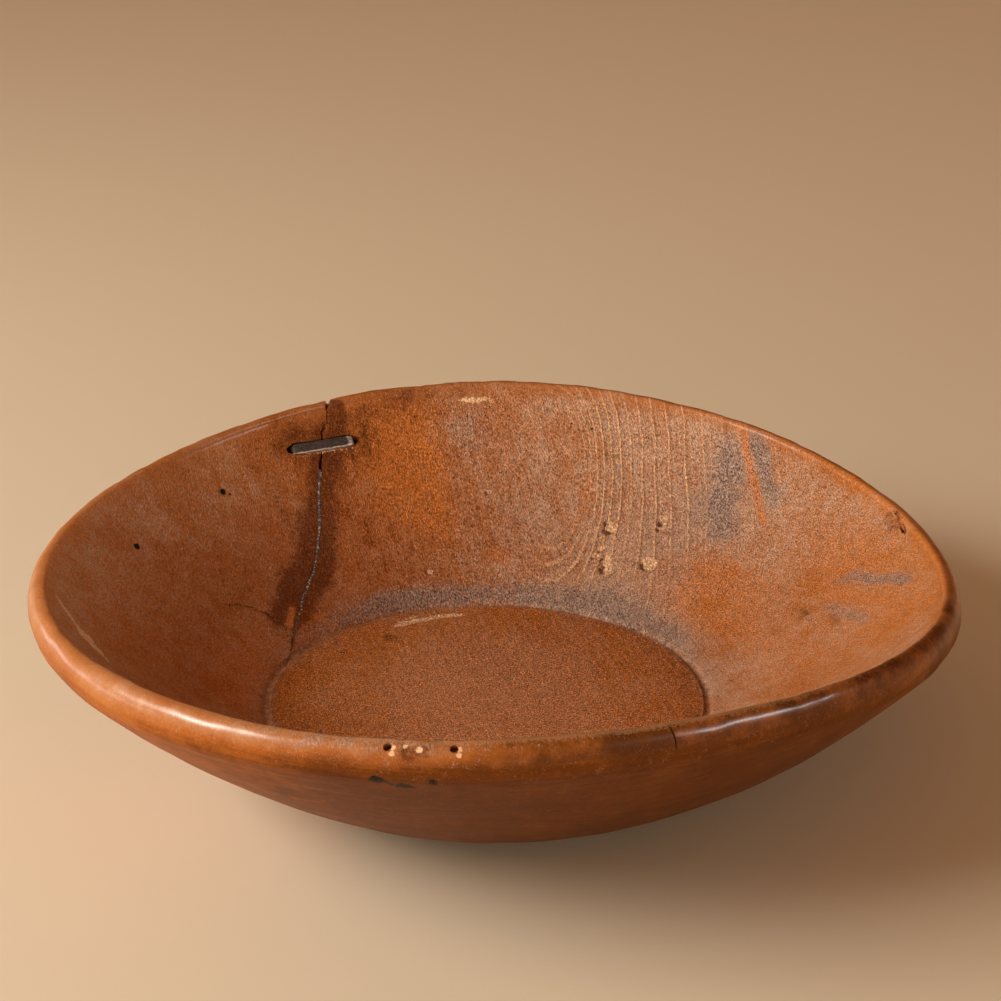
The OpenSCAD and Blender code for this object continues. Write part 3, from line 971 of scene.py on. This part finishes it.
class Shader(Nodes):
    """One material with a Principled shader. Its places and sizes are in millimetres."""

    def __init__(self, name):
        self.material = bpy.data.materials.new(name)
        self.material.use_nodes = True
        super().__init__(self.material.node_tree)
        self.bsdf = self.tree.nodes["Principled BSDF"]
        place = self.node("TexCoord", {}).outputs["Object"]
        self.place = self.scaled(place, (1 / MM,) * 3)

    def scaled(self, vector, scale):
        return self.node("VectorMath", {0: vector, 1: scale}, operation="MULTIPLY").outputs[0]

    def math(self, operation, a, b=0.0):
        return self.node("Math", {0: a, 1: b}, operation=operation).outputs[0]

    def fold(self, operation, values):
        total, *rest = values
        for value in rest:
            total = self.math(operation, total, value)
        return total

    def sum(self, *values):
        return self.fold("ADD", values)

    def product(self, *values):
        return self.fold("MULTIPLY", values)

    def vary(self, value, amount):
        """A noise value taken about its middle."""
        return self.product(self.math("SUBTRACT", value, 0.5), amount)

    def ramp(self, value, low, high, to_low=0.0, to_high=1.0):
        """Smooth step from one value to another as the input goes from low to high."""
        inputs = {0: value, 1: low, 2: high, 3: to_low, 4: to_high}
        return self.node("MapRange", inputs, interpolation_type="SMOOTHSTEP").outputs[0]

    def noise_at(self, vector, scale, detail, roughness):
        inputs = {"Vector": vector, "Scale": scale, "Detail": detail, "Roughness": roughness}
        return self.node("TexNoise", inputs).outputs["Fac"]

    def noise(self, scale, detail=2.0, roughness=0.5, stretch=(1, 1, 1)):
        """Noise with features of about 1/scale millimetres, longer along an axis with a small stretch."""
        return self.noise_at(self.scaled(self.place, stretch), scale, detail, roughness)

    def streaks(self, axis, scale, stretch=0.05, detail=3.0, roughness=0.6):
        """Noise drawn out along an axis."""
        dot = self.node("VectorMath", {0: self.place, 1: axis}, operation="DOT_PRODUCT").outputs["Value"]
        back = self.product(dot, stretch - 1)
        shift = self.node("VectorMath", {0: axis, "Scale": back}, operation="SCALE").outputs[0]
        vector = self.node("VectorMath", {0: self.place, 1: shift}, operation="ADD").outputs[0]
        return self.noise_at(vector, scale, detail, roughness)

    def mix(self, factor, a, b):
        return self.node("Mix", {0: factor, 6: a, 7: b}, data_type="RGBA").outputs[2]

    def blend(self, factor, a, b):
        """Number between two numbers."""
        return self.node("Mix", {0: factor, 2: a, 3: b}).outputs[0]

    def layer(self, below, where, strength, above):
        """A colour laid over another where a mask says so."""
        return self.mix(self.product(where, strength), below, above)

    def mask(self, name):
        return self.node("Attribute", {}, attribute_name=name).outputs["Fac"]

    def bump(self, height, depth_mm):
        inputs = {"Height": height, "Distance": depth_mm * MM, "Strength": 1.0}
        return self.node("Bump", inputs).outputs["Normal"]

    def set(self, **inputs):
        for key, value in inputs.items():
            self.feed(self.bsdf.inputs[key.replace("_", " ")], value)


PITH_X, PITH_Z = 17.8, 71.0
PITH_SQUASH = 0.65
RINGS_PER_E = 8.5
FINE_LINES_PER_RING = 3

GRAIN_ALONG = (-0.24, 0.97, 0.0)
GRAIN_RIGHT = (0.47, -0.81, 0.35)
GRAIN_UP = (-0.25, 0.74, 0.62)

WOOD_SHADES = [
    (0.0, rgb(0.085, 0.022, 0.0035)), (0.22, rgb(0.145, 0.041, 0.005)), (0.45, rgb(0.36, 0.107, 0.022)),
    (0.7, rgb(0.44, 0.178, 0.076)), (1.0, rgb(0.55, 0.33, 0.23)),
]
RING_SHADOW = rgb(0.17, 0.078, 0.04)
RING_RIDGE = rgb(0.78, 0.47, 0.27)
WARM_COLOURS = rgb(0.42, 0.114, 0.011), rgb(0.77, 0.24, 0.036)
HAZE_COLOURS = rgb(0.115, 0.086, 0.086), rgb(0.4, 0.3, 0.27)
# Dark of stains, also used for the painted shade beside the chips and inside the disc's edge
DARK_COLOURS = rgb(0.06, 0.013, 0.0015), rgb(0.185, 0.04, 0.003)
ORANGE_COLOUR = rgb(0.62, 0.19, 0.04)
FIBRE_COLOUR = rgb(0.64, 0.33, 0.17)
# Pale of wear, also the painted highlight on the disc's edge
WEAR_AND_EDGE_HIGHLIGHT_COLOUR = rgb(0.5, 0.27, 0.15)
BARE_COLOUR = rgb(0.8, 0.52, 0.32)
# Near black of the painted shade in pits, holes and cracks
DEPTH_SHADE_COLOUR = rgb(0.016, 0.01, 0.008)
OUTSIDE_FILTER = (1.0, 0.87, 0.5)
SCALE_COLOURS = rgb(0.03, 0.016, 0.011), rgb(0.085, 0.045, 0.03)
RUST_COLOUR = rgb(0.17, 0.085, 0.045)
# Light iron of the edges: wear, and the painted highlight on the lower edge and left end
RUBBED_AND_GLINT_COLOUR = rgb(0.66, 0.54, 0.44)
WAX_COLOURS = rgb(0.03, 0.02, 0.015), rgb(0.17, 0.118, 0.09)
GRIT_COLOUR = rgb(0.62, 0.5, 0.42)


def growth_rings(s):
    """Light ridges of the growth rings about the pith, dark lines beside them, and fine lines between."""
    parts = s.node("SeparateXYZ", {0: s.place})
    side = s.math("SUBTRACT", parts.outputs["X"], PITH_X)
    rise = s.product(s.math("SUBTRACT", parts.outputs["Z"], PITH_Z), PITH_SQUASH)
    radius = s.math("SQRT", s.sum(s.product(side, side), s.product(rise, rise), 4.0))
    radius = s.sum(radius, s.product(s.noise(0.02, 2, 0.4), 7.0))
    count = s.product(s.math("LOGARITHM", radius, math.e), RINGS_PER_E)
    own = s.node("TexWhiteNoise", {"W": s.math("FLOOR", count)}, noise_dimensions="1D").outputs["Value"]
    gap = s.product(s.math("FRACT", count), s.math("DIVIDE", radius, RINGS_PER_E))
    faded = s.ramp(s.noise(0.06, 3), 0.35, 0.6, 0.6, 1.0)
    strength = s.product(s.ramp(own, 0.0, 0.8, 0.45, 1.0), faded, s.ramp(radius, 18, 30))
    ridge = s.product(s.ramp(gap, 0.0, 0.3), s.ramp(gap, 0.8, 1.2, 1.0, 0.0), strength)
    shadow = s.product(s.ramp(gap, 0.9, 1.3), s.ramp(gap, 1.4, 2.8, 1.0, 0.0), strength)
    thin = s.math("SINE", s.product(count, FINE_LINES_PER_RING * 2 * math.pi))
    return ridge, shadow, thin


def grain_streaks(s):
    """Streaks along the grain, turned to lie in the surface of the far wall and of the right wall."""
    parts = s.node("SeparateXYZ", {0: s.place})
    far = s.ramp(parts.outputs["Y"], 95, 120)
    right = s.ramp(parts.outputs["X"], 105, 150)
    streak = s.blend(far, s.streaks(GRAIN_ALONG, 0.5), s.streaks(GRAIN_UP, 0.6))
    return s.blend(right, streak, s.streaks(GRAIN_RIGHT, 0.5))


class Grain:
    """Noises and masks that the wood's colour, gloss and bump share."""

    def __init__(self, s):
        self.grit = s.mask("grit")
        self.outside = s.mask("outside")
        self.speck = s.noise(0.7, 4, 0.8)
        self.ragged = s.noise(0.2, 6, 0.85)
        self.flake = s.noise(0.55, 3, 0.8)
        self.fine = s.streaks(GRAIN_UP, 1.9, 0.35, 2, 0.8)
        self.streak = grain_streaks(s)
        figure = s.mask("figure")
        self.ridge, self.shadow, self.thin = (s.product(part, figure) for part in growth_rings(s))
        haze = s.sum(s.mask("haze"), s.vary(self.ragged, 3.2), s.vary(self.fine, 1.8))
        self.haze = s.ramp(haze, 0.28, 1.05)
        self.bare = s.ramp(s.sum(s.mask("bare"), s.vary(self.flake, 2.0)), 0.38, 0.62)


def plain_wood(s, g):
    """Colour of the wood before stains and wear."""
    blotches = s.sum(s.vary(s.noise(0.028, 4, 0.6), 0.7), s.vary(s.noise(0.11, 4, 0.65), 0.5))
    calm = s.ramp(g.outside, 0.0, 1.0, 1.0, 0.5)
    lines = s.sum(s.vary(g.streak, 0.75), s.vary(g.speck, 0.35))
    layers = s.vary(s.noise(0.45, 3, 0.6, (0.06, 0.06, 1)), 0.4)
    shade = s.sum(s.mask("tone"), s.product(blotches, calm), s.product(lines, g.grit),
                  s.product(g.thin, 0.05), s.product(layers, g.outside))
    return s.shades(shade, WOOD_SHADES)


def stained(s, g, colour):
    """The rings, warm and grey patches, orange lines, dark stains, a darker groove and painted shade at the
    chips and the disc's edge, over a colour.
    """
    mottle = s.ramp(g.speck, 0.35, 0.65)
    colour = s.layer(colour, g.shadow, 0.36, RING_SHADOW)
    colour = s.layer(colour, g.ridge, 0.9, RING_RIDGE)
    warm = s.ramp(s.sum(s.mask("warm"), s.vary(g.ragged, 3.2)), 0.15, 1.15)
    colour = s.layer(colour, warm, 0.62, s.mix(mottle, *WARM_COLOURS))
    colour = s.layer(colour, g.haze, 0.78, s.mix(s.ramp(g.fine, 0.35, 0.65), *HAZE_COLOURS))
    colour = s.layer(colour, s.mask("orange"), s.ramp(g.fine, 0.3, 0.5, 0.25, 0.62), ORANGE_COLOUR)
    # Dark layer: stains, the darker groove, and painted shade beside the chips and inside the disc's edge
    dark = s.ramp(s.sum(s.mask("dark"), s.vary(g.ragged, 3.0), s.vary(g.streak, 1.2)), 0.12, 1.05)
    return s.layer(colour, dark, 0.8, s.mix(mottle, *DARK_COLOURS))


def weathered(s, g, colour):
    """Pale fibres, wear, chips and the deeper outside, over a colour, with a painted highlight on the disc's
    edge and painted shade in pits, holes and cracks.
    """
    colour = s.layer(colour, s.ramp(g.fine, 0.6, 0.72), s.product(g.grit, 0.3), FIBRE_COLOUR)
    # Pale wear, and the painted highlight on the disc's edge
    wear_and_edge_highlight = s.ramp(s.sum(s.mask("wear_and_edge_highlight"), s.vary(g.speck, 1.6), s.vary(g.fine, 1.0)), 0.25, 0.75)
    colour = s.layer(colour, wear_and_edge_highlight, 0.5, WEAR_AND_EDGE_HIGHLIGHT_COLOUR)
    colour = s.layer(colour, g.bare, 0.92, BARE_COLOUR)
    # Painted shade in pits, holes and cracks
    depth_shade = s.ramp(s.sum(s.mask("depth_shade"), s.vary(g.flake, 1.2)), 0.35, 0.7)
    colour = s.mix(depth_shade, colour, DEPTH_SHADE_COLOUR)
    colour = s.layer(colour, g.outside, 0.8, s.scaled(colour, OUTSIDE_FILTER))
    pores = s.sum(s.vary(g.fine, 5.0), s.vary(g.speck, 0.3))
    return s.scaled(colour, s.sum(1.0, s.product(pores, g.grit)))


def wood_material():
    """Old waxed fruitwood: rings, streaks along the grain, stains, bare chips and a satin polish thinned by
    use, with painted shade and a painted highlight.
    """
    s = Shader("carved_wood")
    g = Grain(s)
    colour = weathered(s, g, stained(s, g, plain_wood(s, g)))
    polish = s.mask("polish")
    gloss = s.sum(0.4, s.product(g.speck, 0.22), s.product(polish, -0.22), s.product(g.haze, 0.12),
                  s.product(g.bare, 0.2))
    height = s.sum(s.vary(g.streak, 0.8), s.vary(g.speck, 0.8), s.vary(g.fine, 1.0),
                   s.product(g.thin, 0.06), s.product(g.ridge, 0.5), s.product(g.bare, 0.3))
    s.set(Base_Color=colour, Roughness=gloss, Normal=s.bump(s.product(height, g.grit), 0.6))
    s.set(Coat_Weight=s.product(polish, 0.45), Coat_Roughness=0.24, Specular_IOR_Level=0.06)
    return s.material


def iron_material():
    """Forged iron with a brown scale, a little rust, and light edges: bare metal from wear and a painted
    highlight on the lower edge and left end.
    """
    s = Shader("forged_iron")
    mottle = s.noise(0.7, 4, 0.7)
    grit = s.noise(3.2, 3, 0.7)
    colour = s.mix(s.ramp(mottle, 0.35, 0.65), *SCALE_COLOURS)
    colour = s.mix(s.ramp(grit, 0.55, 0.75, 0.0, 0.5), colour, RUST_COLOUR)
    # Light edges: wear and painted highlight
    rubbed_edge_and_glint = s.product(s.ramp(s.mask("edge"), 0.35, 0.95), s.ramp(mottle, 0.3, 0.6, 0.2, 0.9))
    colour = s.mix(rubbed_edge_and_glint, colour, RUBBED_AND_GLINT_COLOUR)
    height = s.sum(s.product(mottle, 0.8), s.product(grit, 0.4))
    s.set(Base_Color=colour, Roughness=s.ramp(rubbed_edge_and_glint, 0.0, 1.0, 0.58, 0.38), Normal=s.bump(height, 0.4))
    s.set(Metallic=0.35, Specular_IOR_Level=0.4)
    return s.material


def filler_material():
    """Hardened wax and grime with light grit."""
    s = Shader("old_filler")
    lumps = s.noise(0.9, 4, 0.7)
    grit = s.noise(0.8, 2, 0.6)
    colour = s.mix(s.ramp(lumps, 0.3, 0.7), *WAX_COLOURS)
    colour = s.mix(s.ramp(grit, 0.56, 0.62), colour, GRIT_COLOUR)
    s.set(Base_Color=colour, Roughness=s.ramp(lumps, 0.3, 0.7, 0.85, 0.6), Normal=s.bump(grit, 0.3))
    s.set(Specular_IOR_Level=0.3)
    return s.material


# ---- Stage ----

FLOOR_HALF = 6.0
FLOOR_COLOUR = rgb(0.8, 0.69, 0.56)


def make_floor():
    mesh = bpy.data.meshes.new("floor")
    corners = [(x * FLOOR_HALF, y * FLOOR_HALF, 0) for x, y in ((-1, -1), (1, -1), (1, 1), (-1, 1))]
    mesh.from_pydata(corners, [], [(0, 1, 2, 3)])
    floor = new_object("floor", mesh)
    s = Shader("floor")
    s.set(Base_Color=FLOOR_COLOUR, Roughness=0.9, Specular_IOR_Level=0.0)
    mesh.materials.append(s.material)


make_camera()
make_lights()
make_room()
make_floor()
make_bowl()
make_staple()
make_filler()
